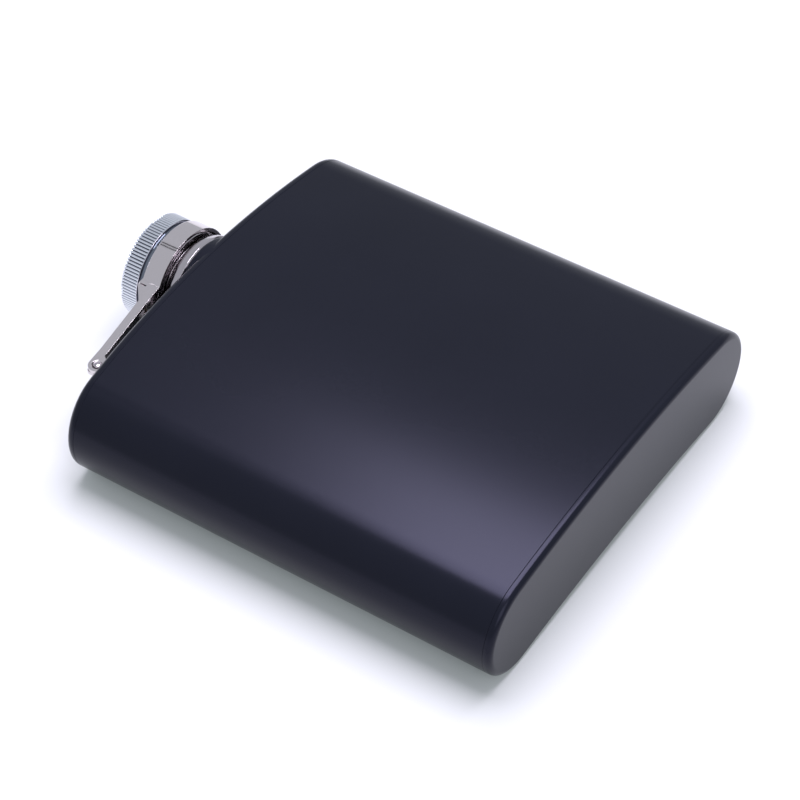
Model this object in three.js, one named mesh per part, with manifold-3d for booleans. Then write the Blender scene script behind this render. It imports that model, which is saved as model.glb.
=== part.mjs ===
// A hip flask lying on its back: a bent, flattened steel body, a welded neck, and a knurled screw cap
// that stays on the flask because a hinged arm holds it.
// Millimetres. X runs across the width, Y from the base towards the cap, Z up through the thickness.
import * as THREE from 'three';
import { mergeVertices } from 'three/addons/utils/BufferGeometryUtils.js';
import Module from 'manifold-3d';

// ---- driving dimensions -------------------------------------------------------------------------

// body
const bodyWidth = 95;
const bodyDepth = 24.4; // from the surface it lies on to the crown of the front
const bodyLength = 97.9; // along the sides, from the base to the shoulder
const frontCrown = 2.2; // the front stands this much higher in its middle than at its round sides
const backHollow = 1.5; // how far the back curves in, to sit against a leg
const shoulderRise = 1.9; // the top plate arches up towards its middle
const wrapWall = 0.6;
const plateWall = 0.8;
const baseEdgeRadius = 1.3;
const topEdgeRadius = 1.6;
const plateLand = 0.4; // straight lip of a plate, between its rounded edge and the weld

// neck
const neckShift = 2.2; // the neck stands this far from the middle, away from the hinge
const boreRadius = 7;
const neckWall = 0.85; // at the root of the thread
const neckThreadDepth = 0.4;
const neckThreadStart = 1; // above the flange
const threadPitch = 1.8;
const threadTurns = 3;
const neckLength = 7; // threaded length above the flange
const spigotProud = 0.6; // the neck's lower end hangs this far inside the flask
const flangeWidth = 3.05; // out from the thread's crest
const flangeHeight = 2.8;
const flangeTaper = 0.65;
const flangeLowerTaper = 0.26; // the part of the taper that is spent below the rounded top
const flangeFootBevel = 0.4;
const flangeTopRound = 1.2;
const bossLip = 0.1; // the drawn boss of the top plate shows this much round the flange
const bossHeight = 0.8;
const bossTaper = 0.5;
const edgeBreak = 0.3; // small chamfer on turned edges

// arm
const ringDepth = 4.5;
const ringEdgeRadius = 0.5;
const armWall = 0.7;
const strapDepth = 1.85;
const strapDrop = 1.9; // the strap falls this much from the ring to the hinge
const strapEndHalfWidth = 4.3;
const strapRingHalfWidth = 6;
const rampRun = 3.6; // the strap steps up to the top of the ring over this length
const reliefWidth = 0.3; // slit that frees the ring's skirt from the ramp
const reliefDepth = 1.9;
const reliefSpan = 2; // length of the slit's cut, across the strap's edge
const hingeFromSide = 16.7; // from the body's side in to the hinge pin, so that the cap swings clear
const hingeEarRadius = 1.94;
const earSweep = 1.28 * Math.PI; // the ear is round over this much of a turn, from its top
const earFootRun = 2.72; // from the pin to the place where the strap's lower edge starts
const webWall = 0.77; // the strap's web, measured straight down
const ringClearance = 1; // under the ring, over the neck's flange

// hinge
const pinRadius = 0.85;
const pinProud = 0.25;
const pinEndRound = 0.33;
const pinEndRise = 0.2;
const pinClearance = 0.1;
const countersink = 0.3;
const bracketInward = 3; // from the pin towards the neck
const bracketOutward = 1.8; // from the pin towards the side
const bracketWall = 0.8;
const bracketTopAbovePin = 1.65;
const bracketCornerRadius = 0.8;
const bracketSideClearance = 0.2;
const bracketSwingRoom = 0.18; // between the bracket's far corner and the end of the strap's web
const weldGap = 0.05;

// cap
const headSetback = 0.4; // the head is this much smaller in radius than the ring
const headFootSetback = 0.55; // its plain foot is smaller again
const headFootHeight = 0.9;
const knurlHeight = 3.5;
const knurlDepth = 0.35;
const knurlCount = 36;
const crownRadius = 0.6;
const crownRise = 0.25;
const headLift = 0.15; // gap between the ring and the head
const threadRoom = 0.85; // between the crests of the two threads
const sleeveWall = 0.45; // at the root of the thread
const sleeveThreadDepth = 0.35;
const sleeveThreadStart = 0.6; // above the sleeve's lower end
const sleeveDisc = 1;
const sleeveInset = 0.2; // the sleeve stops this far inside the ring's lower edge
const swivelClearance = 0.2;
const pressClearance = 0.05;
const collarWall = 0.9;
const washerWidth = 0.8;
const washerHeight = 0.5;
const sealHeight = 1.5;
const sealClearance = 0.05;

// ---- places worked out from the dimensions ------------------------------------------------------

const halfWidth = bodyWidth / 2;
const endRadius = (bodyDepth - frontCrown) / 2; // the round narrow sides
const endCentre = halfWidth - endRadius;
const shoulderTop = bodyLength + shoulderRise;
const midDepth = (backHollow + bodyDepth) / 2; // height of the neck's axis

const neckThreadRadius = boreRadius + neckWall + neckThreadDepth;
const flangeRadius = neckThreadRadius + flangeWidth;
const bossRadius = flangeRadius + bossLip;
const sleeveThreadRadius = neckThreadRadius + threadRoom;
const sleeveRadius = sleeveThreadRadius + sleeveThreadDepth + sleeveWall;
const collarRadius = sleeveRadius + collarWall;
const washerRadius = sleeveRadius + washerWidth;
const ringRadius = collarRadius + swivelClearance + armWall;
const headRadius = ringRadius - headSetback;
const headFootRadius = headRadius - headFootSetback;

const bossFoot = shoulderTop - topEdgeRadius;
const spigotBottom = bossFoot - spigotProud;
const bossTop = shoulderTop + bossHeight;
const flangeTop = bossTop + flangeHeight;
const mouth = flangeTop + neckLength;
const ringBottom = flangeTop + ringClearance;
const ringTop = ringBottom + ringDepth;
const ringPlateUnder = ringTop - armWall;
const headBottom = ringTop + headLift;
const knurlBottom = headBottom + headFootHeight;
const knurlTop = knurlBottom + knurlHeight;
const headTop = knurlTop + crownRadius + crownRise;
const sealBottom = mouth + sealClearance;
const sealTop = sealBottom + sealHeight;
const sleeveTop = sealTop + sealClearance + sleeveDisc;
const sleeveBottom = ringBottom + sleeveInset;
const ringLeft = neckShift - ringRadius;
const strapTopAtRing = ringBottom + strapDepth;
const strapTopAtPin = strapTopAtRing - strapDrop;
const pinX = hingeFromSide - halfWidth;
const pinY = strapTopAtPin - hingeEarRadius;
const pinHoleRadius = pinRadius + pinClearance;
const webCutback = Math.hypot(bracketInward, bracketTopAbovePin) + bracketSwingRoom;
const belowArm = pinY - 3 * hingeEarRadius;
const rampTopX = ringLeft + reliefWidth;
const rampFootX = rampTopX - rampRun;
const overallLength = headTop;

// front: one large arc that touches both round sides
const depthOverEnds = bodyDepth - 2 * endRadius;
const frontRadius = endRadius + (endCentre ** 2 + depthOverEnds ** 2) / (2 * depthOverEnds);
const frontAngle = Math.asin(endCentre / (frontRadius - endRadius));
// back: one large hollow arc that touches both round sides from outside
const backRadius = (endCentre ** 2 - 2 * endRadius * backHollow + backHollow ** 2) / (2 * backHollow);
const backAngle = Math.asin(endCentre / (backRadius + endRadius));

// ---- fineness of the round shapes, and what every cut shares -------------------------------------

const endSteps = 7;
const faceSteps = 8;
const edgeSteps = 4;
const roundSteps = 36;
const ringSteps = 48;
const pinSteps = 20;
const curveSegments = 8;
const cutMargin = 1; // a cut runs past what it cuts by this much

// ---- building helpers ---------------------------------------------------------------------------

const wasm = await Module();
wasm.setup();

function toSolid(geometry) {
  const bare = geometry.index ? geometry.clone() : geometry;
  for (const name of Object.keys(bare.attributes)) {
    if (name !== 'position') bare.deleteAttribute(name);
  }
  const merged = mergeVertices(bare, 1e-4);
  return new wasm.Manifold(new wasm.Mesh({
    numProp: 3,
    vertProperties: new Float32Array(merged.attributes.position.array),
    triVerts: new Uint32Array(merged.index.array),
  }));
}

function toGeometry(solid) {
  const mesh = solid.getMesh();
  const geometry = new THREE.BufferGeometry();
  geometry.setAttribute('position', new THREE.BufferAttribute(new Float32Array(mesh.vertProperties), 3));
  geometry.setIndex(new THREE.BufferAttribute(new Uint32Array(mesh.triVerts), 1));
  geometry.computeVertexNormals();
  return geometry;
}

// A turned shape about the Y axis; the profile is [radius, height] pairs, up the outside and down the inside.
function lathe(profile, steps = roundSteps) {
  return new THREE.LatheGeometry(profile.map(([radius, y]) => new THREE.Vector2(radius, y)), steps);
}

function closed(profile) {
  return [...profile, profile[0]];
}

// A disc or rod about the Y axis.
function rod(radius, bottom, top, steps = roundSteps) {
  return lathe([[0, bottom], [radius, bottom], [radius, top], [0, top]], steps);
}

// An outline in X and Z pushed along Y.
function extrudeUp(points, bottom, top) {
  const shape = new THREE.Shape(points.map(([x, z]) => new THREE.Vector2(x, -z)));
  const geometry = new THREE.ExtrudeGeometry(shape, { depth: top - bottom, bevelEnabled: false });
  return geometry.rotateX(-Math.PI / 2).translate(0, bottom, 0);
}

// An outline in X and Y pushed along Z, both ways from 0.
function extrudeAcross(shape, halfDepth, holes = []) {
  shape.holes.push(...holes);
  const options = { depth: 2 * halfDepth, bevelEnabled: false, curveSegments };
  const geometry = new THREE.ExtrudeGeometry(shape, options);
  return geometry.translate(0, 0, -halfDepth);
}

// Height of the arched shoulder above its ends.
function arch(x) {
  return shoulderRise * (1 - (x / halfWidth) ** 2);
}

// The body's outline, drawn in by inset: the front from -X to +X, then the back from +X to -X.
function bodyOutline(inset) {
  const radius = endRadius - inset;
  const frontArc = frontRadius - inset;
  const backArc = backRadius + inset;
  const points = [];
  const quarter = Math.PI / 2;
  for (let i = 0; i < endSteps; i++) {
    const angle = -quarter + (quarter - frontAngle) * (i / endSteps);
    points.push([-endCentre + radius * Math.sin(angle), endRadius + radius * Math.cos(angle)]);
  }
  for (let i = 0; i <= faceSteps; i++) {
    const angle = frontAngle * (2 * i / faceSteps - 1);
    points.push([frontArc * Math.sin(angle), bodyDepth - frontRadius + frontArc * Math.cos(angle)]);
  }
  for (let i = 1; i <= endSteps; i++) {
    const angle = frontAngle + (quarter - frontAngle) * (i / endSteps);
    points.push([endCentre + radius * Math.sin(angle), endRadius + radius * Math.cos(angle)]);
  }
  for (let i = 1; i < endSteps; i++) {
    const angle = quarter + (quarter + backAngle) * (i / endSteps);
    points.push([endCentre + radius * Math.sin(angle), endRadius + radius * Math.cos(angle)]);
  }
  for (let i = 0; i <= faceSteps; i++) {
    const angle = backAngle * (1 - 2 * i / faceSteps);
    points.push([backArc * Math.sin(angle), backHollow - backRadius + backArc * Math.cos(angle)]);
  }
  for (let i = 1; i < endSteps; i++) {
    const angle = Math.PI - backAngle + (quarter + backAngle) * (i / endSteps);
    points.push([-endCentre + radius * Math.sin(angle), endRadius + radius * Math.cos(angle)]);
  }
  return points;
}

// Skins a stack of body outlines, each { inset, y(x) }, in the order of rising Y on the outside.
// A tube closes on itself, and a plate is filled at both ends.
function loft(levels, isTube) {
  const rings = levels.map(({ inset, y }) => bodyOutline(inset).map(([x, z]) => [x, y(x), z]));
  const count = rings[0].length;
  const half = count / 2;
  const faces = [];
  const bands = isTube ? rings.length : rings.length - 1;
  for (let band = 0; band < bands; band++) {
    const here = band * count;
    const next = ((band + 1) % rings.length) * count;
    for (let i = 0; i < count; i++) {
      const j = (i + 1) % count;
      faces.push(here + i, next + j, next + i, here + i, here + j, next + j);
    }
  }
  if (!isTube) {
    const last = (rings.length - 1) * count;
    for (let i = 0; i < half; i++) {
      const across = (count - i) % count;
      const below = count - i - 1;
      if (i > 0) {
        faces.push(across, i + 1, i);
        faces.push(last + across, last + i, last + i + 1);
      }
      if (i < half - 1) {
        faces.push(across, below, i + 1);
        faces.push(last + across, last + i + 1, last + below);
      }
    }
  }
  const geometry = new THREE.BufferGeometry();
  geometry.setAttribute('position', new THREE.BufferAttribute(new Float32Array(rings.flat(2)), 3));
  geometry.setIndex(faces);
  geometry.computeVertexNormals();
  return geometry;
}

// Levels of a pressed plate, from its outer face round its edge to its weld, then back up its inside.
function plateLevels(edgeRadius, toHeight) {
  const insideSteps = 2;
  const inner = edgeRadius - plateWall;
  const levels = [];
  for (let i = 0; i <= edgeSteps; i++) {
    const angle = (Math.PI / 2) * (i / edgeSteps);
    levels.push([edgeRadius * (1 - Math.sin(angle)), edgeRadius * (1 - Math.cos(angle))]);
  }
  levels.push([0, edgeRadius + plateLand]);
  levels.push([wrapWall, edgeRadius + plateLand]);
  levels.push([plateWall, edgeRadius]);
  for (let i = 1; i <= insideSteps; i++) {
    const angle = (Math.PI / 2) * (1 - i / insideSteps);
    levels.push([edgeRadius - inner * Math.sin(angle), edgeRadius - inner * Math.cos(angle)]);
  }
  return levels.map(([inset, depth]) => ({ inset, y: toHeight(depth) }));
}

// ---- the body -----------------------------------------------------------------------------------

function bodyWrap() {
  const bottom = () => baseEdgeRadius + plateLand;
  const top = (x) => bodyLength - topEdgeRadius - plateLand + arch(x);
  return loft([
    { inset: 0, y: bottom },
    { inset: 0, y: top },
    { inset: wrapWall, y: top },
    { inset: wrapWall, y: bottom },
  ], true);
}

function basePlate() {
  return loft(plateLevels(baseEdgeRadius, (depth) => () => depth), false);
}

// The top plate is arched, and drawn up into a low boss round the hole that takes the neck.
function topPlate() {
  const toHeight = (depth) => (x) => bodyLength + arch(x) - depth;
  const plate = loft(plateLevels(topEdgeRadius, toHeight).reverse(), false);
  const boss = lathe([
    [0, bossFoot], [bossRadius, bossFoot], [bossRadius, bossTop - bossTaper],
    [bossRadius - bossTaper, bossTop], [0, bossTop],
  ]).translate(neckShift, 0, midDepth);
  const hole = rod(neckThreadRadius, spigotBottom - cutMargin, bossTop + cutMargin);
  hole.translate(neckShift, 0, midDepth);
  return toGeometry(toSolid(plate).add(toSolid(boss)).subtract(toSolid(hole)));
}

// ---- the neck -----------------------------------------------------------------------------------

// Thread ridges as [radius, height] pairs, from low to high, between a crest and a root radius.
function ridges(crest, root, bottom) {
  const rise = 0.3 * threadPitch;
  const land = 0.5 * threadPitch;
  const fall = 0.8 * threadPitch;
  const points = [];
  for (let turn = 0; turn < threadTurns; turn++) {
    const y = bottom + turn * threadPitch;
    points.push([root, y], [crest, y + rise], [crest, y + land], [root, y + fall]);
  }
  return points;
}

function neck() {
  const root = neckThreadRadius - neckThreadDepth;
  const spigot = neckThreadRadius - pressClearance;
  const topOfTaper = flangeRadius - flangeTaper;
  return lathe(closed([
    [boreRadius, spigotBottom],
    [spigot, spigotBottom],
    [spigot, bossTop],
    [flangeRadius - flangeFootBevel, bossTop],
    [flangeRadius, bossTop + flangeFootBevel],
    [flangeRadius - flangeLowerTaper, flangeTop - flangeTopRound],
    [topOfTaper, flangeTop - edgeBreak],
    [topOfTaper - edgeBreak, flangeTop],
    [root, flangeTop],
    ...ridges(neckThreadRadius, root, flangeTop + neckThreadStart),
    [root, mouth - edgeBreak],
    [root - edgeBreak, mouth],
    [boreRadius, mouth],
  ]));
}

// ---- the hinge ----------------------------------------------------------------------------------

const earOuter = strapEndHalfWidth - armWall - bracketSideClearance;

function hingeBracket() {
  const left = pinX - bracketOutward;
  const right = pinX + bracketInward;
  const foot = bodyLength + arch(right) + weldGap;
  const top = pinY + bracketTopAbovePin;
  const corner = bracketCornerRadius;
  const side = new THREE.Shape();
  side.moveTo(left, foot);
  side.lineTo(right, foot);
  side.lineTo(right, top - corner);
  side.absarc(right - corner, top - corner, corner, 0, Math.PI / 2);
  side.lineTo(left + corner, top);
  side.absarc(left + corner, top - corner, corner, Math.PI / 2, Math.PI);
  side.closePath();
  const pinHole = new THREE.Path().absarc(pinX, pinY, pinRadius, 0, 2 * Math.PI, true);
  const block = toSolid(extrudeAcross(side, earOuter, [pinHole]));
  const gap = new THREE.BoxGeometry(4 * bracketInward, top - foot, 2 * (earOuter - bracketWall));
  gap.translate(pinX, foot + bracketWall + (top - foot) / 2, 0);
  return toGeometry(block.subtract(toSolid(gap))).translate(0, 0, midDepth);
}

function hingePin() {
  const half = strapEndHalfWidth + pinProud;
  const radius = pinRadius - pressClearance / 2;
  const flat = radius - pinEndRound;
  return lathe([
    [0, -half], [flat, -half], [radius, pinEndRise - half],
    [radius, half - pinEndRise], [flat, half], [0, half],
  ], pinSteps).rotateX(Math.PI / 2).translate(pinX, pinY, midDepth);
}

// ---- the arm ------------------------------------------------------------------------------------

// Height of the strap's top face.
function strapTop(x) {
  return strapTopAtPin + strapDrop * (x - pinX) / (ringLeft - pinX);
}

// The strap seen from above: parallel at the hinge, then widening until it runs into the ring.
function strapPlan(inset) {
  const endX = pinX - hingeEarRadius - cutMargin;
  const wideX = ringLeft + cutMargin;
  const parallelX = pinX + webCutback;
  const halfAtRing = strapRingHalfWidth - inset;
  const halfAtEnd = strapEndHalfWidth - inset;
  return [[endX, -halfAtEnd], [parallelX, -halfAtEnd], [wideX, -halfAtRing], [neckShift, -halfAtRing],
    [neckShift, halfAtRing], [wideX, halfAtRing], [parallelX, halfAtEnd], [endX, halfAtEnd]];
}

// The strap seen from the side: a ramp down from the ring, a low flange, and a round ear about the pin.
function strapSide() {
  const earFootX = pinX + earFootRun;
  const side = new THREE.Shape();
  side.moveTo(neckShift, ringBottom);
  side.lineTo(neckShift, ringTop);
  side.lineTo(rampTopX, ringTop);
  side.lineTo(rampFootX, strapTop(rampFootX));
  side.lineTo(pinX, strapTopAtPin);
  side.absarc(pinX, pinY, hingeEarRadius, Math.PI / 2, Math.PI / 2 + earSweep);
  side.lineTo(earFootX, strapTop(earFootX) - strapDepth);
  side.lineTo(ringLeft, ringBottom);
  side.closePath();
  return side;
}

// The room under the strap's web and ramp.
function strapInside() {
  const pastEar = pinX - 2 * hingeEarRadius;
  return new THREE.Shape([
    [neckShift, belowArm], [neckShift, ringPlateUnder], [rampTopX + armWall / 2, ringPlateUnder],
    [rampFootX + armWall / 2, strapTop(rampFootX) - webWall], [pastEar, strapTopAtPin - webWall],
    [pastEar, belowArm],
  ].map(([x, y]) => new THREE.Vector2(x, y)));
}

// The ring: a flat rim that the sleeve turns in, with a skirt round its edge.
function armRing() {
  const hole = sleeveRadius + swivelClearance;
  const skirtInside = ringRadius - armWall;
  const edge = [];
  for (let i = 0; i <= edgeSteps; i++) {
    const angle = (Math.PI / 2) * (i / edgeSteps);
    edge.push([
      ringRadius - ringEdgeRadius * (1 - Math.cos(angle)),
      ringTop - ringEdgeRadius * (1 - Math.sin(angle)),
    ]);
  }
  return lathe(closed([
    [skirtInside, ringBottom], [ringRadius, ringBottom], ...edge, [hole, ringTop],
    [hole, ringPlateUnder], [skirtInside, ringPlateUnder],
  ]), ringSteps).translate(neckShift, 0, 0);
}

// What the ring leaves open: the room inside its skirt and the hole through its rim.
function ringRoom() {
  const hole = sleeveRadius + swivelClearance;
  const skirtInside = ringRadius - armWall;
  return lathe([
    [0, belowArm], [skirtInside, belowArm], [skirtInside, ringPlateUnder],
    [hole, ringPlateUnder], [hole, ringTop + cutMargin], [0, ringTop + cutMargin],
  ], ringSteps).translate(neckShift, 0, 0);
}

// The hole for the pin, with a countersink at each ear.
function pinHoleCuts() {
  const along = rod(pinHoleRadius, -ringRadius, ringRadius, pinSteps);
  const cuts = [along.rotateX(Math.PI / 2).translate(pinX, pinY, 0)];
  for (const side of [-1, 1]) {
    const mouthRadius = pinHoleRadius + countersink;
    const cone = lathe([
      [0, -countersink], [pinHoleRadius, -countersink], [mouthRadius, 0],
      [mouthRadius, countersink], [0, countersink],
    ], pinSteps);
    cuts.push(cone.rotateX(side * Math.PI / 2).translate(pinX, pinY, side * strapEndHalfWidth));
  }
  return cuts;
}

function reliefSlits() {
  return [-1, 1].map((side) => new THREE.BoxGeometry(reliefWidth, 2 * reliefDepth, reliefSpan)
    .translate(rampTopX + reliefWidth, ringTop, side * strapRingHalfWidth));
}

function capArm() {
  const inside = toSolid(extrudeAcross(strapInside(), ringRadius))
    .intersect(toSolid(extrudeUp(strapPlan(armWall), belowArm - cutMargin, ringTop)));
  const webEnd = new THREE.BoxGeometry(
    2 * webCutback, 4 * hingeEarRadius, 2 * (strapEndHalfWidth - armWall),
  ).translate(pinX, pinY, 0);
  const strap = toSolid(extrudeAcross(strapSide(), ringRadius))
    .intersect(toSolid(extrudeUp(strapPlan(0), belowArm, ringTop + cutMargin)))
    .subtract(toSolid(webEnd))
    .subtract(toSolid(ringRoom()));
  let arm = strap.add(toSolid(armRing())).subtract(inside);
  for (const cut of [...pinHoleCuts(), ...reliefSlits()]) {
    arm = arm.subtract(toSolid(cut));
  }
  return toGeometry(arm).translate(0, 0, midDepth);
}

// ---- the cap ------------------------------------------------------------------------------------

// The head is turned, then every other column of its side is drawn in to make the knurl.
function capHead() {
  const bore = sleeveRadius + pressClearance;
  const roof = sleeveTop + pressClearance;
  const crownSteps = 2;
  const crown = [];
  for (let i = 0; i <= crownSteps; i++) {
    const angle = (Math.PI / 2) * (i / crownSteps);
    crown.push([
      headRadius - crownRadius * (1 - Math.cos(angle)),
      knurlTop + crownRadius * Math.sin(angle),
    ]);
  }
  const profile = closed([
    [bore, headBottom], [headFootRadius, headBottom], [headFootRadius, knurlBottom],
    [headRadius, knurlBottom], ...crown, [0, headTop], [0, roof], [bore, roof],
  ]);
  const knurlRows = [3, 4];
  const steps = 2 * knurlCount;
  const shrink = 1 - knurlDepth / headRadius;
  const geometry = lathe(profile, steps);
  const position = geometry.attributes.position;
  for (let column = 1; column < steps; column += 2) {
    for (const row of knurlRows) {
      const index = column * profile.length + row;
      position.setX(index, position.getX(index) * shrink);
      position.setZ(index, position.getZ(index) * shrink);
    }
  }
  geometry.computeVertexNormals();
  return geometry;
}

function capSleeve() {
  const root = sleeveThreadRadius + sleeveThreadDepth;
  const roof = sealTop + sealClearance;
  return lathe([
    [0, sleeveTop], [0, roof], [root, roof],
    ...ridges(sleeveThreadRadius, root, sleeveBottom + sleeveThreadStart).reverse(),
    [root, sleeveBottom], [sleeveRadius, sleeveBottom], [sleeveRadius, sleeveTop], [0, sleeveTop],
  ]);
}

function retainingCollar() {
  const bore = sleeveRadius + pressClearance;
  const top = ringPlateUnder - washerHeight - 2 * sealClearance;
  return lathe(closed([
    [bore, sleeveBottom], [collarRadius - edgeBreak, sleeveBottom], [collarRadius, sleeveBottom + edgeBreak],
    [collarRadius, top], [bore, top],
  ]));
}

function swivelWasher() {
  const bore = sleeveRadius + pressClearance;
  const top = ringPlateUnder - sealClearance;
  return lathe(closed([
    [bore, top - washerHeight], [washerRadius, top - washerHeight], [washerRadius, top], [bore, top],
  ]));
}

function capSeal() {
  const radius = sleeveThreadRadius + sleeveThreadDepth - pressClearance;
  return lathe([[0, sealBottom], [radius, sealBottom], [radius, sealTop], [0, sealTop]]);
}

// ---- the assembly -------------------------------------------------------------------------------

function finish(color, roughness, metalness) {
  return new THREE.MeshStandardMaterial({ color, roughness, metalness, flatShading: true });
}

const blackPowderCoat = finish(0x22252d, 0.5, 0.1);
const polishedSteel = finish(0xc9c6c8, 0.2, 1);
const chrome = finish(0xd5dae6, 0.15, 1);
const nylon = finish(0xe6e2d8, 0.6, 0);
const silicone = finish(0xd9d9d4, 0.7, 0);

function piece(name, geometry, material) {
  const mesh = new THREE.Mesh(geometry, material);
  mesh.name = name;
  return mesh;
}

const onNeckAxis = new THREE.Group();
onNeckAxis.position.set(neckShift, 0, midDepth);
onNeckAxis.add(
  piece('neck', neck(), polishedSteel),
  piece('cap_head', capHead(), chrome),
  piece('cap_sleeve', capSleeve(), polishedSteel),
  piece('cap_retaining_collar', retainingCollar(), polishedSteel),
  piece('swivel_washer', swivelWasher(), nylon),
  piece('cap_seal', capSeal(), silicone),
);

// The origin is under the middle of the flask, on the surface it lies on.
const flask = new THREE.Group();
flask.position.set(0, -overallLength / 2, 0);
flask.add(
  piece('body_wrap', bodyWrap(), blackPowderCoat),
  piece('base_plate', basePlate(), blackPowderCoat),
  piece('top_plate', topPlate(), blackPowderCoat),
  piece('hinge_bracket', hingeBracket(), polishedSteel),
  piece('hinge_pin', hingePin(), polishedSteel),
  piece('cap_arm', capArm(), polishedSteel),
  onNeckAxis,
);

const model = new THREE.Group();
model.add(flask);

export default model;
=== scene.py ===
import math

import bmesh
import bpy
from mathutils import Matrix, Vector


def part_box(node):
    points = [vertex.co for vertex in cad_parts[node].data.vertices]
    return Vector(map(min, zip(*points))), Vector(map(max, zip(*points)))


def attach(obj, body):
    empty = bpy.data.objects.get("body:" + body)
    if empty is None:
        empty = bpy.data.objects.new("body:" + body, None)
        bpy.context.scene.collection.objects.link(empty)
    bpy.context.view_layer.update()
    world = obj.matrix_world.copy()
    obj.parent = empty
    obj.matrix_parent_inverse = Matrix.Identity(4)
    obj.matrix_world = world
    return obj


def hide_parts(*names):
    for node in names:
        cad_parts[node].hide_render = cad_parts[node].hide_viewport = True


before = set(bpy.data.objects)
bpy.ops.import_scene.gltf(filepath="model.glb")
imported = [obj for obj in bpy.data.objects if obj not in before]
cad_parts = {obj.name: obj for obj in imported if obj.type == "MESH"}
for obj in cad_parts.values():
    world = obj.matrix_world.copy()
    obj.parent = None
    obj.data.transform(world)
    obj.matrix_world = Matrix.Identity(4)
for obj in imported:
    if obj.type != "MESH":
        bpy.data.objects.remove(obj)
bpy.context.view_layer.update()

# ---- sizes, in millimetres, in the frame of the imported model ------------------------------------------

MM = 0.001


def box_mm(node):
    low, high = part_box(node)
    return low / MM, high / MM


wrap_low, wrap_high = box_mm("body_wrap")
head_low, head_high = box_mm("cap_head")
neck_low, neck_high = box_mm("neck")
sleeve_low, sleeve_high = box_mm("cap_sleeve")
BASE_Y = box_mm("base_plate")[0].y
BOSS_TOP_Y = box_mm("top_plate")[1].y

BODY_WIDTH = wrap_high.x - wrap_low.x
BODY_DEPTH = wrap_high.z - wrap_low.z
HALF_WIDTH = BODY_WIDTH / 2
FRONT_CROWN = 2.2
BACK_HOLLOW = 1.5
SHOULDER_RISE = 1.9
WRAP_WALL = 0.6
PLATE_WALL = 0.8
BASE_EDGE = 1.3
TOP_EDGE = 1.6
PLATE_LAND = 0.4
SEAM_BREAK = 0.07
BOSS_HEIGHT = 0.8
BOSS_LIP = 0.1
BOSS_RIM = 0.5
BOSS_RIM_MIDDLE = 0.15
NECK_HOLE = 8.25
DRILL_REACH = 5

SHOULDER_Y = BOSS_TOP_Y - BOSS_HEIGHT - SHOULDER_RISE
NECK_X = (neck_low.x + neck_high.x) / 2
NECK_Z = (neck_low.z + neck_high.z) / 2
FLANGE_RADIUS = (neck_high.x - neck_low.x) / 2
BOSS_RADIUS = FLANGE_RADIUS + BOSS_LIP
HEAD_RADIUS = (head_high.x - head_low.x) / 2
SLEEVE_RADIUS = (sleeve_high.x - sleeve_low.x) / 2

END_RADIUS = (BODY_DEPTH - FRONT_CROWN) / 2
END_CENTRE = HALF_WIDTH - END_RADIUS
FRONT_RADIUS = END_RADIUS + (END_CENTRE ** 2 + FRONT_CROWN ** 2) / (2 * FRONT_CROWN)
FRONT_ANGLE = math.asin(END_CENTRE / (FRONT_RADIUS - END_RADIUS))
BACK_RADIUS = (END_CENTRE ** 2 - 2 * END_RADIUS * BACK_HOLLOW + BACK_HOLLOW ** 2) / (2 * BACK_HOLLOW)
BACK_ANGLE = math.asin(END_CENTRE / (BACK_RADIUS + END_RADIUS))

FACE_STEPS = 24
END_STEPS = 28
EDGE_STEPS = 6
PLATE_STATIONS = 24
TURN_STEPS = 128
SHARP_ANGLE = math.radians(32)
MERGE_DISTANCE = 1e-3
ON_SURFACE = 0.02
ORDER_DIGITS = 4

HEAD_FOOT_SETBACK = 0.55
HEAD_FOOT_HEIGHT = 0.9
HEAD_RIM_ROUND = 0.12
HEAD_RIM_RISE = 0.1
HEAD_RIM_DROP = 0.08
HEAD_ROOM = 0.05
CROWN_POINTS = ((0.08, 0.42), (0.3, 0.26), (0.75, 0.2), (2.5, 0.12))
KNURL_RIDGES = 100
COLUMNS_PER_RIDGE = 6
KNURL_DEPTH = 0.4
KNURL_CROWN = 0.55
KNURL_RUN_OUT = 0.2
GROOVE_POWER = 3
# Painted shade in the knurl: how far inside the head's radius it starts, and over what depth it fades in.
PAINTED_SHADE_START = 0.08
PAINTED_SHADE_FADE = 0.2


# ---- materials ------------------------------------------------------------------------------------

def linear(hex_colour):
    """An sRGB hex colour as linear red, green, blue and alpha."""
    parts = [int(hex_colour[i:i + 2], 16) / 255 for i in (1, 3, 5)]
    return [c / 12.92 if c <= 0.04045 else ((c + 0.055) / 1.055) ** 2.4 for c in parts] + [1.0]


def add(tree, kind, inputs=None, **settings):
    """Adds a node with its settings; an input is a value, or an output socket to link from."""
    node = tree.nodes.new(kind)
    for name, value in settings.items():
        setattr(node, name, value)
    for socket, value in (inputs or {}).items():
        if isinstance(value, bpy.types.NodeSocket):
            tree.links.new(value, node.inputs[socket])
        else:
            node.inputs[socket].default_value = value
    return node


def new_material(name):
    material = bpy.data.materials.new(name)
    material.use_nodes = True
    material.node_tree.nodes.clear()
    return material, material.node_tree


def close_material(tree, shader):
    add(tree, "ShaderNodeOutputMaterial", {"Surface": shader.outputs[0]})


def per_metre(size_mm):
    """Noise scale that gives features of this size."""
    return 1 / (size_mm * MM)


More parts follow.
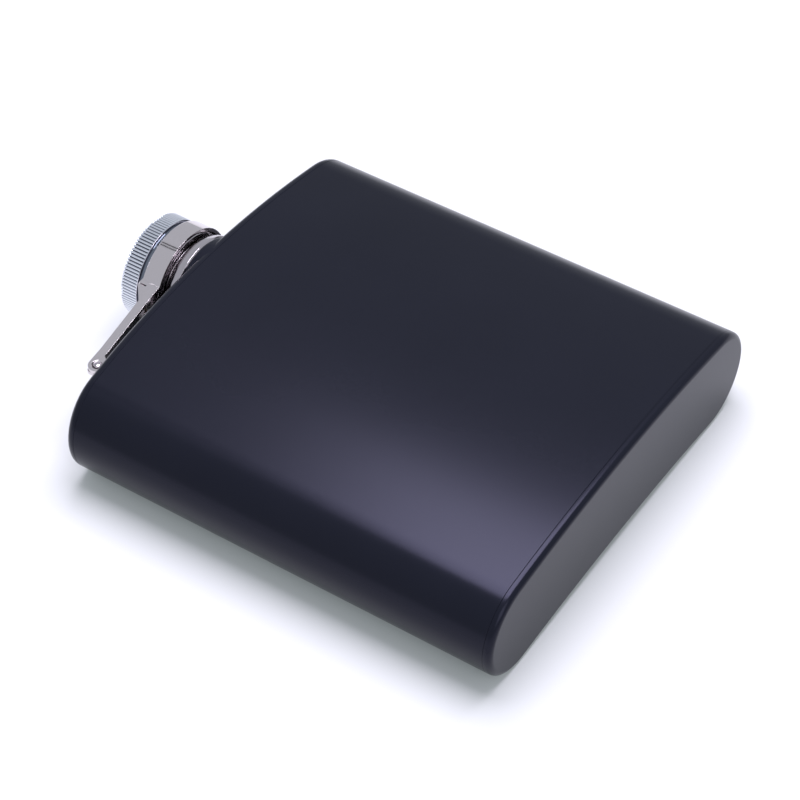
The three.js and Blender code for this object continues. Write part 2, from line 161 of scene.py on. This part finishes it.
def powder_coat():
    """Polyester powder coat, baked on steel: a blue-black satin with a fine orange peel, which spreads
    the studio light into a soft lavender glow."""
    material, tree = new_material("polyester_powder_coat_baked")
    place = add(tree, "ShaderNodeTexCoord").outputs["Object"]
    peel = add(tree, "ShaderNodeTexNoise", {"Vector": place, "Scale": per_metre(0.9), "Detail": 2.0})
    grit = add(tree, "ShaderNodeTexNoise", {"Vector": place, "Scale": per_metre(0.22), "Detail": 3.0})
    cloud = add(tree, "ShaderNodeTexNoise", {"Vector": place, "Scale": per_metre(26), "Detail": 3.0})
    colour = add(tree, "ShaderNodeMix", {
        0: cloud.outputs["Fac"], 6: linear("#0d0f15"), 7: linear("#12141b"),
    }, data_type="RGBA")
    rough = add(tree, "ShaderNodeMapRange", {
        "Value": grit.outputs["Fac"], "From Min": 0.3, "From Max": 0.7, "To Min": 0.20, "To Max": 0.25,
    })
    peel_bump = add(tree, "ShaderNodeBump", {
        "Strength": 0.10, "Distance": 0.02 * MM, "Height": peel.outputs["Fac"],
    })
    bump = add(tree, "ShaderNodeBump", {
        "Strength": 0.16, "Distance": 0.01 * MM, "Height": grit.outputs["Fac"],
        "Normal": peel_bump.outputs[0],
    })
    shader = add(tree, "ShaderNodeBsdfPrincipled", {
        "Base Color": colour.outputs[2], "Roughness": rough.outputs[0], "Normal": bump.outputs[0],
        "IOR": 1.5, "Specular IOR Level": 0.22, "Specular Tint": linear("#d9d8ff"),
    })
    close_material(tree, shader)
    return material


def turned_metal(name, light, dark, rough_low, rough_high, line_mm, bump_strength, recess_shade=None):
    """Metal turned or polished about the neck's axis: its fine lines run round that axis. An optional
    painted shade gives the radius and the height below which the colour is darkened, standing in for shade
    in hollows, and the colour of that shade."""
    material, tree = new_material(name)
    place = add(tree, "ShaderNodeTexCoord").outputs["Object"]
    centred = add(tree, "ShaderNodeMapping", {
        "Vector": place, "Location": (-NECK_X * MM, 0.0, -NECK_Z * MM),
    })
    axes = add(tree, "ShaderNodeSeparateXYZ", {0: centred.outputs[0]})
    flat = add(tree, "ShaderNodeCombineXYZ", {0: axes.outputs[0], 1: axes.outputs[2]})
    radius = add(tree, "ShaderNodeVectorMath", {0: flat.outputs[0]}, operation="LENGTH")
    round_axis = add(tree, "ShaderNodeCombineXYZ", {0: radius.outputs["Value"], 1: axes.outputs[1]})
    lines = add(tree, "ShaderNodeTexNoise", {
        "Vector": round_axis.outputs[0], "Scale": per_metre(line_mm), "Detail": 3.0,
    })
    haze = add(tree, "ShaderNodeTexNoise", {"Vector": place, "Scale": per_metre(4), "Detail": 2.0})
    colour = add(tree, "ShaderNodeMix", {
        0: lines.outputs["Fac"], 6: linear(dark), 7: linear(light),
    }, data_type="RGBA")
    tone = colour.outputs[2]
    # Painted shade: inside the given radius and below the given height the colour is darkened to the shade
    # colour, standing in for the shade in hollows such as the knurl's grooves.
    if recess_shade:
        radius_mm, height_mm, painted_shade_colour = recess_shade
        deep = add(tree, "ShaderNodeMapRange", {
            "Value": radius.outputs["Value"], "From Min": radius_mm * MM,
            "From Max": (radius_mm - PAINTED_SHADE_FADE) * MM, "To Min": 0.0, "To Max": 1.0,
        })
        below = add(tree, "ShaderNodeMath", {0: axes.outputs[1], 1: height_mm * MM}, operation="LESS_THAN")
        shade_mask = add(tree, "ShaderNodeMath", {0: deep.outputs[0], 1: below.outputs[0]}, operation="MULTIPLY")
        tone = add(tree, "ShaderNodeMix", {
            0: shade_mask.outputs[0], 6: tone, 7: linear(painted_shade_colour),
        }, data_type="RGBA").outputs[2]
    rough = add(tree, "ShaderNodeMapRange", {
        "Value": haze.outputs["Fac"], "From Min": 0.3, "From Max": 0.7,
        "To Min": rough_low, "To Max": rough_high,
    })
    bump = add(tree, "ShaderNodeBump", {
        "Strength": bump_strength, "Distance": 0.004 * MM, "Height": lines.outputs["Fac"],
    })
    shader = add(tree, "ShaderNodeBsdfPrincipled", {
        "Base Color": tone, "Metallic": 1.0, "Roughness": rough.outputs[0], "Normal": bump.outputs[0],
    })
    close_material(tree, shader)
    return material


def polished_strap_steel():
    """Stainless steel sheet, stamped and polished: a warm grey mirror with a faint grain along the strap,
    drawn coarser than the real one so that it shows."""
    material, tree = new_material("stainless_steel_stamped_and_polished")
    place = add(tree, "ShaderNodeTexCoord").outputs["Object"]
    drawn_out = add(tree, "ShaderNodeMapping", {"Vector": place, "Scale": (0.03, 1.0, 1.0)})
    grain = add(tree, "ShaderNodeTexNoise", {
        "Vector": drawn_out.outputs[0], "Scale": per_metre(0.08), "Detail": 2.0,
    })
    colour = add(tree, "ShaderNodeMix", {
        0: grain.outputs["Fac"], 6: linear("#d2cbcd"), 7: linear("#ded7d9"),
    }, data_type="RGBA")
    rough = add(tree, "ShaderNodeMapRange", {
        "Value": grain.outputs["Fac"], "From Min": 0.3, "From Max": 0.7, "To Min": 0.07, "To Max": 0.11,
    })
    bump = add(tree, "ShaderNodeBump", {
        "Strength": 0.06, "Distance": 0.003 * MM, "Height": grain.outputs["Fac"],
    })
    shader = add(tree, "ShaderNodeBsdfPrincipled", {
        "Base Color": colour.outputs[2], "Metallic": 1.0, "Roughness": rough.outputs[0],
        "Normal": bump.outputs[0],
    })
    close_material(tree, shader)
    return material


def moulded(name, light, dark, roughness, grain_mm, through):
    """A moulded polymer, a little cloudy, with a fine matt skin."""
    material, tree = new_material(name)
    place = add(tree, "ShaderNodeTexCoord").outputs["Object"]
    cloud = add(tree, "ShaderNodeTexNoise", {"Vector": place, "Scale": per_metre(3), "Detail": 3.0})
    skin = add(tree, "ShaderNodeTexNoise", {"Vector": place, "Scale": per_metre(grain_mm)})
    colour = add(tree, "ShaderNodeMix", {
        0: cloud.outputs["Fac"], 6: linear(dark), 7: linear(light),
    }, data_type="RGBA")
    bump = add(tree, "ShaderNodeBump", {
        "Strength": 0.2, "Distance": 0.01 * MM, "Height": skin.outputs["Fac"],
    })
    shader = add(tree, "ShaderNodeBsdfPrincipled", {
        "Base Color": colour.outputs[2], "Roughness": roughness, "Normal": bump.outputs[0],
        "Subsurface Weight": through, "Subsurface Scale": 0.5 * MM,
    })
    close_material(tree, shader)
    return material


coat = powder_coat()
# Stainless steel, turned and polished: warm grey, with faint lines round the neck.
steel = turned_metal(
    "stainless_steel_turned", "#cbc5c9", "#b5afb4", rough_low=0.10, rough_high=0.17, line_mm=0.12,
    bump_strength=0.12,
)
# Chrome plate on a turned and knurled head: a cold bluish white, with a painted shade darkening the knurl's
# grooves and the narrower foot and underside below them.
chrome = turned_metal(
    "chrome_plate_on_turned_brass", "#f0f2f8", "#e4e8f2", rough_low=0.05, rough_high=0.10, line_mm=0.15,
    bump_strength=0.06, recess_shade=(HEAD_RADIUS - PAINTED_SHADE_START, head_high.y - KNURL_CROWN, "#7c828d"),
)
strap_steel = polished_strap_steel()
# Nylon, moulded: an off-white washer with a dull skin.
nylon = moulded("nylon_moulded", "#e8e3d8", "#dcd6c9", roughness=0.5, grain_mm=0.2, through=0.1)
# Silicone rubber, moulded: a milky seal that lets a little light through.
silicone = moulded(
    "silicone_rubber_moulded", "#dcdcd6", "#cfcfc8", roughness=0.6, grain_mm=0.3, through=0.3,
)


def matt_card():
    """Black card: its matt face gives the metal something dark to mirror."""
    material, tree = new_material("black_card_matt")
    close_material(tree, add(tree, "ShaderNodeBsdfPrincipled", {
        "Base Color": linear("#0c0c0e"), "Roughness": 0.95, "Specular IOR Level": 0.0,
    }))
    return material


black_card = matt_card()


# ---- making pieces --------------------------------------------------------------------------------

def keep_flats(piece):
    """Weights each corner's shading towards its largest face, so that flats stay flat up to their edges."""
    weighted = piece.modifiers.new("flat_faces_stay_flat", "WEIGHTED_NORMAL")
    weighted.keep_sharp = True


def put_in_order(bm):
    """Orders the mesh by place, because the operators can leave it in another order on each run."""
    def place(point):
        return tuple(round(c, ORDER_DIGITS) for c in point)

    ordered = (
        (bm.verts, lambda v: place(v.co)),
        (bm.edges, lambda e: place((e.verts[0].co + e.verts[1].co) / 2)),
        (bm.faces, lambda f: place(f.calc_center_median())),
    )
    for elements, where in ordered:
        for index, element in enumerate(sorted(elements, key=where)):
            element.index = index
        elements.sort()


def finish_piece(bm, name, material, body, replaced=()):
    """Turns a bmesh in millimetres into a finished piece that rides on a body."""
    put_in_order(bm)
    bmesh.ops.scale(bm, vec=(MM, MM, MM), verts=bm.verts)
    mesh = bpy.data.meshes.new(name)
    bm.to_mesh(mesh)
    bm.free()
    mesh.shade_smooth()
    mesh.set_sharp_from_angle(angle=SHARP_ANGLE)
    mesh.materials.append(material)
    piece = bpy.data.objects.new(name, mesh)
    bpy.context.scene.collection.objects.link(piece)
    keep_flats(piece)
    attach(piece, body)
    if replaced:
        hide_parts(*replaced)
    return piece


def turned(profile, steps=TURN_STEPS):
    """A closed profile of (radius, y) spun about the neck's axis."""
    bm = bmesh.new()
    verts = [bm.verts.new((NECK_X + radius, y, NECK_Z)) for radius, y in profile]
    edges = [bm.edges.new((verts[i - 1], verts[i])) for i in range(len(verts))]
    bmesh.ops.spin(
        bm, geom=verts + edges, cent=(NECK_X, 0, NECK_Z), axis=(0, 1, 0),
        angle=2 * math.pi, steps=steps, use_merge=True,
    )
    bmesh.ops.remove_doubles(bm, verts=bm.verts, dist=MERGE_DISTANCE / 10)
    bmesh.ops.recalc_face_normals(bm, faces=bm.faces)
    return bm


def soften(bm, width, segments=2, over=SHARP_ANGLE):
    """Rounds every edge that is sharper than the given angle."""
    bm.normal_update()
    sharp = [e for e in bm.edges if len(e.link_faces) == 2 and e.calc_face_angle(0) > over]
    bmesh.ops.bevel(
        bm, geom=sharp, offset=width, segments=segments, affect="EDGES", profile=0.5,
        material=-1, clamp_overlap=True,
    )


def copy_of(node):
    """The solid of a CAD node in millimetres, with its triangles joined into whole faces."""
    bm = bmesh.new()
    bm.from_mesh(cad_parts[node].data)
    bmesh.ops.scale(bm, vec=(1 / MM, 1 / MM, 1 / MM), verts=bm.verts)
    bmesh.ops.remove_doubles(bm, verts=bm.verts, dist=MERGE_DISTANCE)
    bmesh.ops.dissolve_limit(bm, angle_limit=math.radians(1), verts=bm.verts, edges=bm.edges)
    return bm


# ---- the body -------------------------------------------------------------------------------------

def arch(x):
    """How much the shoulder rises at x."""
    return SHOULDER_RISE * (1 - (x / HALF_WIDTH) ** 2)


def swept(bm, vert, centre, angle, steps):
    """Sweeps a vertex round a centre in the X-Z plane, and returns the vertex it ends at."""
    made = bmesh.ops.spin(bm, geom=[vert], cent=(centre[0], 0, centre[1]), axis=(0, 1, 0),
                          angle=angle, steps=steps)
    return next(g for g in made["geom_last"] if isinstance(g, bmesh.types.BMVert))


def outline_loop(bm, inset, height):
    """One closed outline of the body, drawn in by inset, at a height that may change with x."""
    before = set(bm.edges)
    front = FRONT_RADIUS - inset
    start = bm.verts.new((
        -front * math.sin(FRONT_ANGLE), 0, BODY_DEPTH - FRONT_RADIUS + front * math.cos(FRONT_ANGLE),
    ))
    end_sweep = math.pi + BACK_ANGLE - FRONT_ANGLE
    vert = swept(bm, start, (0, BODY_DEPTH - FRONT_RADIUS), 2 * FRONT_ANGLE, FACE_STEPS)
    vert = swept(bm, vert, (END_CENTRE, END_RADIUS), end_sweep, END_STEPS)
    vert = swept(bm, vert, (0, BACK_HOLLOW - BACK_RADIUS), -2 * BACK_ANGLE, FACE_STEPS)
    swept(bm, vert, (-END_CENTRE, END_RADIUS), end_sweep, END_STEPS)
    edges = [e for e in bm.edges if e not in before]
    verts = list(dict.fromkeys(v for e in edges for v in e.verts))
    bmesh.ops.remove_doubles(bm, verts=verts, dist=MERGE_DISTANCE)
    edges = [e for e in bm.edges if e not in before]
    for v in {v for e in edges for v in e.verts}:
        v.co.y = height(v.co.x)
    return edges


def skinned(levels, tube):
    """Skins a stack of outlines; a tube closes on itself, and a plate is filled at both ends."""
    bm = bmesh.new()
    loops = [outline_loop(bm, inset, height) for inset, height in levels]
    pairs = list(zip(loops, loops[1:]))
    if tube:
        pairs.append((loops[-1], loops[0]))
    for a, b in pairs:
        bmesh.ops.bridge_loops(bm, edges=a + b)
    if not tube:
        for loop, (_, height) in ((loops[0], levels[0]), (loops[-1], levels[-1])):
            fill_across(bm, loop, height)
    bmesh.ops.recalc_face_normals(bm, faces=bm.faces)
    return bm


def fill_across(bm, loop, height):
    """Fills an outline with strips that run from front to back, so that the face can be arched."""
    face = bmesh.ops.contextual_create(bm, geom=loop)["faces"][0]
    faces = [face]
    for i in range(1, PLATE_STATIONS):
        x = HALF_WIDTH * (2 * i / PLATE_STATIONS - 1)
        edges = dict.fromkeys(e for f in faces for e in f.edges)
        verts = dict.fromkeys(v for f in faces for v in f.verts)
        geom = [*faces, *edges, *verts]
        cut = bmesh.ops.bisect_plane(bm, geom=geom, plane_co=(x, 0, 0), plane_no=(1, 0, 0))
        faces = [g for g in cut["geom"] if isinstance(g, bmesh.types.BMFace)]
    for v in {v for f in faces for v in f.verts}:
        v.co.y = height(v.co.x)


def plate_levels(edge, to_height):
    """Outlines of a pressed plate, from its outer face round its edge to the weld, then back inside."""
    levels = []
    for i in range(EDGE_STEPS + 1):
        angle = math.pi / 2 * i / EDGE_STEPS
        levels.append((edge * (1 - math.sin(angle)), edge * (1 - math.cos(angle))))
    levels.append((0, edge + PLATE_LAND - SEAM_BREAK))
    levels.append((SEAM_BREAK, edge + PLATE_LAND))
    levels.append((WRAP_WALL, edge + PLATE_LAND))
    levels.append((PLATE_WALL, edge))
    levels.append((edge, PLATE_WALL))
    return [(inset, to_height(depth)) for inset, depth in levels]


def body_wrap():
    """The formed sheet, with the edges at its two weld seams broken a little."""

    def bottom(lift):
        return lambda x: BASE_Y + BASE_EDGE + PLATE_LAND + lift

    def top(drop):
        return lambda x: SHOULDER_Y - TOP_EDGE - PLATE_LAND + arch(x) - drop

    bm = skinned([
        (SEAM_BREAK, bottom(0)), (0, bottom(SEAM_BREAK)), (0, top(SEAM_BREAK)), (SEAM_BREAK, top(0)),
        (WRAP_WALL, top(0)), (WRAP_WALL, bottom(0)),
    ], True)
    return finish_piece(bm, "formed_wrap", coat, "body", ["body_wrap"])


def base_plate():
    """The plain pressed plate at the foot."""
    bm = skinned(plate_levels(BASE_EDGE, lambda depth: lambda x: BASE_Y + depth), False)
    return finish_piece(bm, "pressed_base", coat, "body", ["base_plate"])


def top_plate():
    """The arched plate, with the hole for the neck cut through it."""
    bm = skinned(plate_levels(TOP_EDGE, lambda depth: lambda x: SHOULDER_Y + arch(x) - depth), False)
    piece = finish_piece(bm, "pressed_top", coat, "body", ["top_plate"])
    low, high = SHOULDER_Y - DRILL_REACH, SHOULDER_Y + DRILL_REACH
    drill = turned([(0, low), (NECK_HOLE, low), (NECK_HOLE, high), (0, high)])
    bmesh.ops.scale(drill, vec=(MM, MM, MM), verts=drill.verts)
    mesh = bpy.data.meshes.new("drill")
    drill.to_mesh(mesh)
    drill.free()
    cutter = bpy.data.objects.new("drill", mesh)
    bpy.context.scene.collection.objects.link(cutter)
    cut = piece.modifiers.new("hole", "BOOLEAN")
    cut.operation = "DIFFERENCE"
    cut.object = cutter
    cut.solver = "EXACT"
    graph = bpy.context.evaluated_depsgraph_get()
    result = bpy.data.meshes.new_from_object(piece.evaluated_get(graph))
    piece.modifiers.clear()
    piece.data = result
    keep_flats(piece)
    bpy.data.objects.remove(cutter)
    return piece


def drawn_boss():
    """The low boss that the top plate is drawn up into, with a rounded rim and a soft foot."""
    foot = SHOULDER_Y + SHOULDER_RISE - TOP_EDGE
    bm = turned([
        (NECK_HOLE, foot), (BOSS_RADIUS, foot), (BOSS_RADIUS, BOSS_TOP_Y - BOSS_RIM),
        (BOSS_RADIUS - BOSS_RIM_MIDDLE, BOSS_TOP_Y - BOSS_RIM_MIDDLE),
        (BOSS_RADIUS - BOSS_RIM, BOSS_TOP_Y), (NECK_HOLE, BOSS_TOP_Y),
    ])
    return finish_piece(bm, "drawn_boss", coat, "body")


# ---- the cap --------------------------------------------------------------------------------------

def knurled_head():
    """The chrome head: plain foot, thin bright rim, straight knurl, rounded crown."""
    low, top = head_low.y, head_high.y
    foot = HEAD_RADIUS - HEAD_FOOT_SETBACK
    rim = low + HEAD_FOOT_HEIGHT
    knurl_start, knurl_end = rim + HEAD_RIM_ROUND, top - KNURL_CROWN
    bore = SLEEVE_RADIUS + HEAD_ROOM
    roof = sleeve_high.y + HEAD_ROOM
    crown = [(HEAD_RADIUS - inward, top - down) for inward, down in CROWN_POINTS]
    bm = turned([
        (bore, low), (foot, low), (foot, rim - HEAD_RIM_DROP), (HEAD_RADIUS - HEAD_RIM_ROUND, rim),
        (HEAD_RADIUS, rim + HEAD_RIM_RISE), (HEAD_RADIUS, knurl_start),
        (HEAD_RADIUS, knurl_start + KNURL_RUN_OUT), (HEAD_RADIUS, knurl_end - KNURL_RUN_OUT),
        (HEAD_RADIUS, knurl_end),
        *crown, (0, top), (0, roof), (bore, roof),
    ], KNURL_RIDGES * COLUMNS_PER_RIDGE)
    half_run = KNURL_RUN_OUT / 2
    for v in bm.verts:
        x, z = v.co.x - NECK_X, v.co.z - NECK_Z
        inside = knurl_start + half_run < v.co.y < knurl_end - half_run
        if inside and math.hypot(x, z) > HEAD_RADIUS - ON_SURFACE:
            turn = math.atan2(z, x) / (2 * math.pi) * KNURL_RIDGES
            groove = abs(2 * (turn - math.floor(turn)) - 1) ** GROOVE_POWER
            shrink = 1 - KNURL_DEPTH * groove / HEAD_RADIUS
            v.co.x, v.co.z = NECK_X + x * shrink, NECK_Z + z * shrink
    return finish_piece(bm, "knurled_head", chrome, "cap", ["cap_head"])


def softened_copy(node, name, material, body, width):
    """A CAD solid whose shape is right, with its sharp edges rounded as tumbling leaves them."""
    bm = copy_of(node)
    soften(bm, width)
    return finish_piece(bm, name, material, body, [node])


# ---- studio and camera ----------------------------------------------------------------------------

# Degrees, then millimetres from the middle of the flask's base.
CAMERA_AZIMUTH = -55.598
CAMERA_ELEVATION = 45.774
CAMERA_ROLL = -0.906
CAMERA_RIGHT = -42.712
CAMERA_UP = 26.672
CAMERA_DISTANCE = 514.995
SENSOR_WIDTH = 36
LENS = 119.7

# Metres.
CLIP_RANGE = (0.01, 20)
FLOOR_HALF = 6
FRAME_BAR = (0.024, 0.32, 0.01)


def camera():
    """Looks down on the base, the front and the hinge side from three quarters."""
    azimuth = math.radians(CAMERA_AZIMUTH)
    elevation = math.radians(CAMERA_ELEVATION)
    roll = math.radians(CAMERA_ROLL)
    back = Vector((
        math.sin(azimuth) * math.cos(elevation), -math.cos(azimuth) * math.cos(elevation),
        math.sin(elevation),
    ))
    level = Vector((math.cos(azimuth), math.sin(azimuth), 0))
    over = back.cross(level)
    right = level * math.cos(roll) + over * math.sin(roll)
    up = over * math.cos(roll) - level * math.sin(roll)
    place = right * CAMERA_RIGHT + up * CAMERA_UP + back * CAMERA_DISTANCE
    place.y += BASE_Y
    data = bpy.data.cameras.new("camera")
    data.sensor_width = SENSOR_WIDTH
    data.lens = LENS
    data.clip_start, data.clip_end = CLIP_RANGE
    view = bpy.data.objects.new("camera", data)
    turn = Matrix((right, up, back)).transposed()
    view.matrix_world = Matrix.Translation(place * MM) @ turn.to_4x4()
    bpy.context.scene.collection.objects.link(view)
    bpy.context.scene.camera = view


def area_light(name, toward, distance, size, power, colour):
    """A square soft light in the given direction from the middle of the flask, facing it."""
    data = bpy.data.lights.new(name, "AREA")
    data.shape = "SQUARE"
    data.size = size
    data.energy = power
    data.color = linear(colour)[:3]
    light = bpy.data.objects.new(name, data)
    direction = Vector(toward).normalized()
    light.location = direction * distance
    light.rotation_mode = "QUATERNION"
    light.rotation_quaternion = direction.to_track_quat("Z", "Y")
    bpy.context.scene.collection.objects.link(light)


def dark_card(name, centre, size):
    """A matt black bar that the polished metal mirrors as a dark line."""
    bm = bmesh.new()
    bmesh.ops.create_cube(bm, size=1)
    bmesh.ops.scale(bm, vec=size, verts=bm.verts)
    bmesh.ops.translate(bm, vec=centre, verts=bm.verts)
    mesh = bpy.data.meshes.new(name)
    bm.to_mesh(mesh)
    bm.free()
    mesh.materials.append(black_card)
    card = bpy.data.objects.new(name, mesh)
    bpy.context.scene.collection.objects.link(card)


def studio():
    """A white paper floor with a little light of its own, a pale room, two soft lights and their frame."""
    bm = bmesh.new()
    bmesh.ops.create_grid(bm, x_segments=1, y_segments=1, size=FLOOR_HALF)
    mesh = bpy.data.meshes.new("floor")
    bm.to_mesh(mesh)
    bm.free()
    material, tree = new_material("white_paper_matt")
    shader = add(tree, "ShaderNodeBsdfPrincipled", {
        "Base Color": linear("#c6c6c7"), "Roughness": 0.9, "Specular IOR Level": 0.1,
        "Emission Color": linear("#dcf4ef"), "Emission Strength": 0.09,
    })
    close_material(tree, shader)
    mesh.materials.append(material)
    floor = bpy.data.objects.new("floor", mesh)
    bpy.context.scene.collection.objects.link(floor)

    world = bpy.data.worlds.new("studio")
    world.use_nodes = True
    sky = world.node_tree.nodes["Background"]
    sky.inputs["Color"].default_value = linear("#e6ebf4")
    sky.inputs["Strength"].default_value = 0.70
    bpy.context.scene.world = world
    area_light("overhead", (0.114, 0.016, 0.697), distance=0.707, size=0.496, power=7.6, colour="#f6f2ff")
    area_light("front_fill", (-0.55, -0.75, 0.75), distance=1.8, size=1.1, power=7, colour="#f8f9ff")
    dark_card("frame_bar_near", (0.025, 0.44, 0.62), FRAME_BAR)
    dark_card("frame_bar_far", (0.085, 0.44, 0.62), FRAME_BAR)
    bpy.context.scene.view_settings.view_transform = "Standard"


camera()
studio()
body_wrap()
base_plate()
top_plate()
drawn_boss()
softened_copy("neck", "turned_neck", steel, "body", width=0.06)
softened_copy("hinge_bracket", "bent_bracket", strap_steel, "body", width=0.08)
softened_copy("hinge_pin", "pressed_pin", steel, "body", width=0.05)
softened_copy("cap_arm", "stamped_arm", strap_steel, "arm", width=0.06)
knurled_head()
softened_copy("cap_sleeve", "threaded_sleeve", steel, "cap", width=0.04)
softened_copy("cap_retaining_collar", "pressed_collar", steel, "cap", width=0.06)
softened_copy("swivel_washer", "washer", nylon, "cap", width=0.05)
softened_copy("cap_seal", "seal_disc", silicone, "cap", width=0.12)
